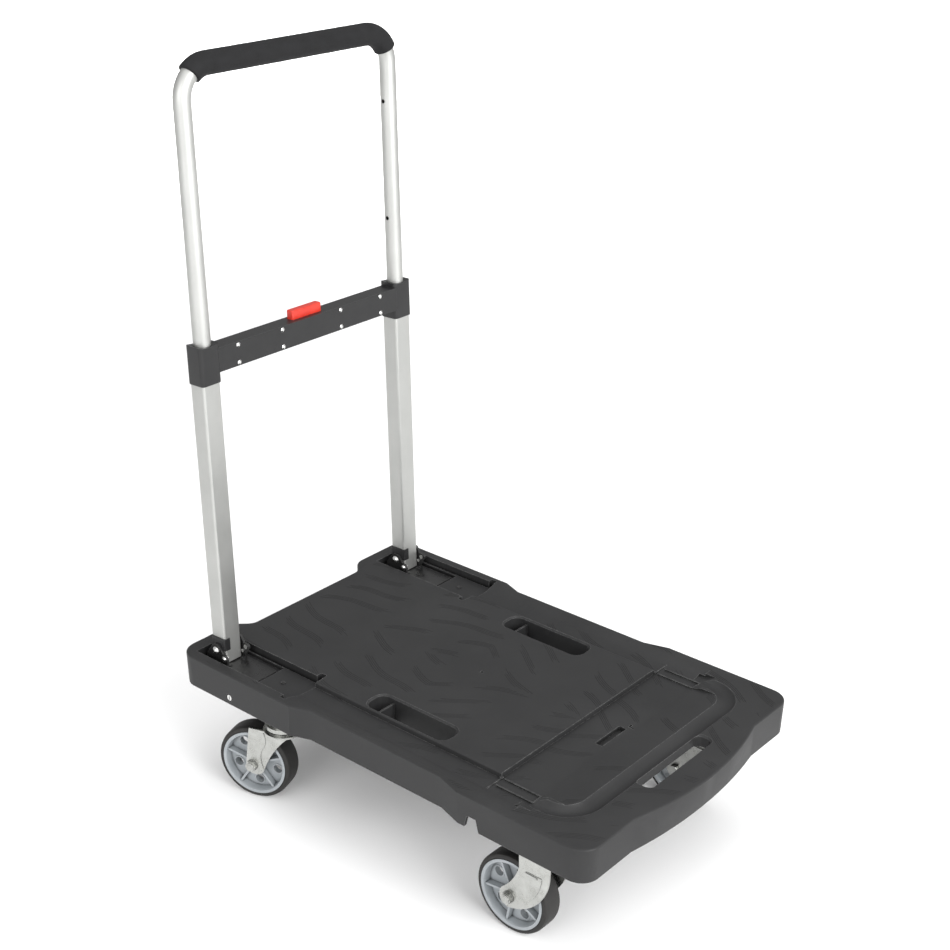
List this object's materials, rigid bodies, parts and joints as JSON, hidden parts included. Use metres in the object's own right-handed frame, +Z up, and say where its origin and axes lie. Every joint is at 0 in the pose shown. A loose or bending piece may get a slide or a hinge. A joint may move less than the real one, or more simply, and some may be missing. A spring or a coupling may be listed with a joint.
{
  "type": "folding platform cart",
  "caption": "Folding platform cart with a ribbed dark plastic deck, telescoping fold-flat push handle, red release button, fixed front wheels and swivel rear casters",
  "frame": {"origin": "On the floor under the middle of the cart's bounding box", "axes": "+Z up, -Y towards the front hand slot, +Y towards the handle; +X to the right when looking along +Y"},
  "size_m": [0.413, 0.658, 0.9123],
  "materials": {
    "deck_plastic": "fine moulded grain",
    "black_plastic": "satin moulded",
    "red_plastic": "semi-gloss",
    "grey_plastic": "satin moulded",
    "tyre_rubber": "matt rubber",
    "foam": "closed-cell foam",
    "aluminium_tube": "satin anodised",
    "zinc_steel": "zinc plated",
    "bright_steel": "bright",
    "black_steel": "satin black"
  },
  "bodies": {
    "platform": {"deck": "deck_plastic", "stop_pins": "bright_steel", "bracket_screws": "black_steel", "deck_screws": "bright_steel", "front_plate_bolts": "zinc_steel", "rear_plate_bolts": "zinc_steel", "hinge_bracket_left": "black_steel", "hinge_pin_left": "bright_steel", "front_fork_left": "zinc_steel", "front_axle_left": "zinc_steel", "front_nut_left": "zinc_steel", "rear_plate_left": "zinc_steel", "kingpin_left": "bright_steel", "hinge_bracket_right": "black_steel", "hinge_pin_right": "bright_steel", "front_fork_right": "zinc_steel", "front_axle_right": "zinc_steel", "front_nut_right": "zinc_steel", "rear_plate_right": "zinc_steel", "kingpin_right": "bright_steel"},
    "hinge_links": {"hinge_bar_left": "black_steel", "hinge_bar_right": "black_steel"},
    "lower_handle": {"post_left": "aluminium_tube", "post_right": "aluminium_tube", "post_shoe_left": "black_plastic", "post_shoe_right": "black_plastic", "crossbar": "black_plastic", "crossbar_cover": "black_plastic", "crossbar_rivets": "bright_steel", "guide_bush_left": "black_plastic", "guide_bush_right": "black_plastic", "button_spring": "bright_steel"},
    "upper_handle": {"upper_tube": "aluminium_tube", "foam_grip": "foam", "tube_plugs": "black_plastic"},
    "release_button": {"release_button": "red_plastic"},
    "lock_pin_left": {"lock_pin_left": "bright_steel"},
    "lock_pin_right": {"lock_pin_right": "bright_steel"},
    "rear_caster_left": {"swivel_fork_left": "zinc_steel", "swivel_race_left": "zinc_steel", "rear_axle_left": "zinc_steel", "rear_nut_left": "zinc_steel"},
    "rear_wheel_left": {"rear_rim_left": "grey_plastic", "rear_tyre_left": "tyre_rubber", "rear_bush_left": "bright_steel"},
    "front_wheel_left": {"front_rim_left": "grey_plastic", "front_tyre_left": "tyre_rubber", "front_bush_left": "bright_steel"},
    "rear_caster_right": {"swivel_fork_right": "zinc_steel", "swivel_race_right": "zinc_steel", "rear_axle_right": "zinc_steel", "rear_nut_right": "zinc_steel"},
    "rear_wheel_right": {"rear_rim_right": "grey_plastic", "rear_tyre_right": "tyre_rubber", "rear_bush_right": "bright_steel"},
    "front_wheel_right": {"front_rim_right": "grey_plastic", "front_tyre_right": "tyre_rubber", "front_bush_right": "bright_steel"}
  },
  "joints": [
    {"name": "handle_fold", "type": "hinge", "parent": "platform", "child": "hinge_links", "pos_m": [0, 0.2835, 0.1838], "axis": [1, 0, 0], "range_deg": [0, 91.4]},
    {"name": "handle_lift", "type": "slide", "parent": "hinge_links", "child": "lower_handle", "axis": [0, 0.0326, 0.9995], "range_m": [0, 0.0801]},
    {"name": "handle_telescope", "type": "slide", "parent": "lower_handle", "child": "upper_handle", "axis": [0, 0.0326, 0.9995], "range_m": [-0.2505, 0]},
    {"name": "button_press", "type": "slide", "parent": "lower_handle", "child": "release_button", "axis": [0, -0.0326, -0.9995], "range_m": [0, 0.006], "stiffness_N_per_m": 400, "springref_m": -0.002, "deforming": ["button_spring"]},
    {"name": "lock_pin_left_slide", "type": "slide", "parent": "lower_handle", "child": "lock_pin_left", "axis": [1, 0, 0], "range_m": [0, 0.00402]},
    {"name": "lock_pin_right_slide", "type": "slide", "parent": "lower_handle", "child": "lock_pin_right", "axis": [-1, 0, 0], "range_m": [0, 0.00402]},
    {"name": "rear_swivel_left", "type": "hinge", "parent": "platform", "child": "rear_caster_left", "pos_m": [-0.1655, 0.185, 0.104], "axis": [0, 0, 1], "continuous": true},
    {"name": "rear_wheel_spin_left", "type": "hinge", "parent": "rear_caster_left", "child": "rear_wheel_left", "pos_m": [-0.17681, 0.22023, 0.05], "axis": [0.9521, 0.3057, 0], "continuous": true},
    {"name": "front_wheel_spin_left", "type": "hinge", "parent": "platform", "child": "front_wheel_left", "pos_m": [-0.1655, -0.191, 0.05], "axis": [1, 0, 0], "continuous": true},
    {"name": "rear_swivel_right", "type": "hinge", "parent": "platform", "child": "rear_caster_right", "pos_m": [0.1655, 0.185, 0.104], "axis": [0, 0, 1], "continuous": true},
    {"name": "rear_wheel_spin_right", "type": "hinge", "parent": "rear_caster_right", "child": "rear_wheel_right", "pos_m": [0.15419, 0.22023, 0.05], "axis": [0.9521, 0.3057, 0], "continuous": true},
    {"name": "front_wheel_spin_right", "type": "hinge", "parent": "platform", "child": "front_wheel_right", "pos_m": [0.1655, -0.191, 0.05], "axis": [1, 0, 0], "continuous": true}
  ],
  "couplings": [
    {"joint": "handle_lift", "follows": "handle_fold", "m_per_rad": 0.050149},
    {"joint": "lock_pin_left_slide", "follows": "button_press", "ratio": 0.6667},
    {"joint": "lock_pin_right_slide", "follows": "button_press", "ratio": 0.6667}
  ]
}
